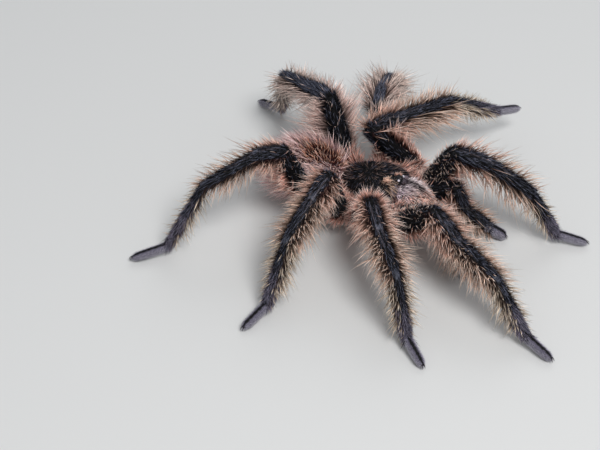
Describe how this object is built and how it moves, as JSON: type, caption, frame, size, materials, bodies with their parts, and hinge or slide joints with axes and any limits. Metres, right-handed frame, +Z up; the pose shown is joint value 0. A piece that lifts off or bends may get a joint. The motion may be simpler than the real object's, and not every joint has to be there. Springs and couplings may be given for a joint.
{
  "type": "tarantula",
  "caption": "Hairy black and rose male tarantula standing on level ground, a still life-size museum model with long bristly legs.",
  "frame": {"origin": "centre of the model's outline at the level its feet stand on", "axes": "+Z up; the spider faces -Y and its own left side is +X"},
  "size_m": [0.1498, 0.1574, 0.0373],
  "materials": {
    "eye_lens": "glossy black bead",
    "fang_horn": "polished dark horn",
    "carapace_velvet": "matt black velvet with sparse pale bristles",
    "abdomen_fur": "long rose and pale orange fur over a dark red-brown back",
    "spinneret_fur": "short dusky hair",
    "jaw_fur": "short rosy grey hair",
    "underside_fur": "orange rose fur",
    "thigh_fur": "black velvet back with long rose side bristles",
    "leg_fur": "black striped back with long rose and tan side bristles",
    "shank_fur": "dark stripe with tan bristles",
    "foot_velvet": "lilac grey velvet pad"
  },
  "bodies": {
    "root": {"eye_left": "eye_lens", "eye_right": "eye_lens", "carapace": "carapace_velvet", "chelicera_left": "jaw_fur", "fang_left": "fang_horn", "chelicera_right": "jaw_fur", "fang_right": "fang_horn", "abdomen": "abdomen_fur", "spinneret_left": "spinneret_fur", "spinneret_right": "spinneret_fur", "leg_right_1_femur": "thigh_fur", "leg_right_1_patella": "leg_fur", "leg_right_1_tibia": "leg_fur", "leg_right_1_metatarsus": "shank_fur", "leg_right_1_tarsus": "foot_velvet", "leg_right_2_femur": "thigh_fur", "leg_right_2_patella": "leg_fur", "leg_right_2_tibia": "leg_fur", "leg_right_2_metatarsus": "shank_fur", "leg_right_2_tarsus": "foot_velvet", "leg_right_3_femur": "thigh_fur", "leg_right_3_patella": "leg_fur", "leg_right_3_tibia": "leg_fur", "leg_right_3_metatarsus": "shank_fur", "leg_right_3_tarsus": "foot_velvet", "leg_right_4_femur": "thigh_fur", "leg_right_4_patella": "leg_fur", "leg_right_4_tibia": "leg_fur", "leg_right_4_metatarsus": "shank_fur", "leg_right_4_tarsus": "foot_velvet", "leg_left_1_femur": "thigh_fur", "leg_left_1_patella": "leg_fur", "leg_left_1_tibia": "leg_fur", "leg_left_1_metatarsus": "shank_fur", "leg_left_1_tarsus": "foot_velvet", "leg_left_2_femur": "thigh_fur", "leg_left_2_patella": "leg_fur", "leg_left_2_tibia": "leg_fur", "leg_left_2_metatarsus": "shank_fur", "leg_left_2_tarsus": "foot_velvet", "leg_left_3_femur": "thigh_fur", "leg_left_3_patella": "leg_fur", "leg_left_3_tibia": "leg_fur", "leg_left_3_metatarsus": "shank_fur", "leg_left_3_tarsus": "foot_velvet", "leg_left_4_femur": "thigh_fur", "leg_left_4_patella": "leg_fur", "leg_left_4_tibia": "leg_fur", "leg_left_4_metatarsus": "shank_fur", "leg_left_4_tarsus": "foot_velvet", "palp_right_femur": "thigh_fur", "palp_right_patella": "leg_fur", "palp_right_tibia": "leg_fur", "palp_right_tarsus": "foot_velvet", "palp_left_femur": "thigh_fur", "palp_left_patella": "leg_fur", "palp_left_tibia": "leg_fur", "palp_left_tarsus": "foot_velvet", "sternum_and_hips": "underside_fur"}
  },
  "joints": []
}
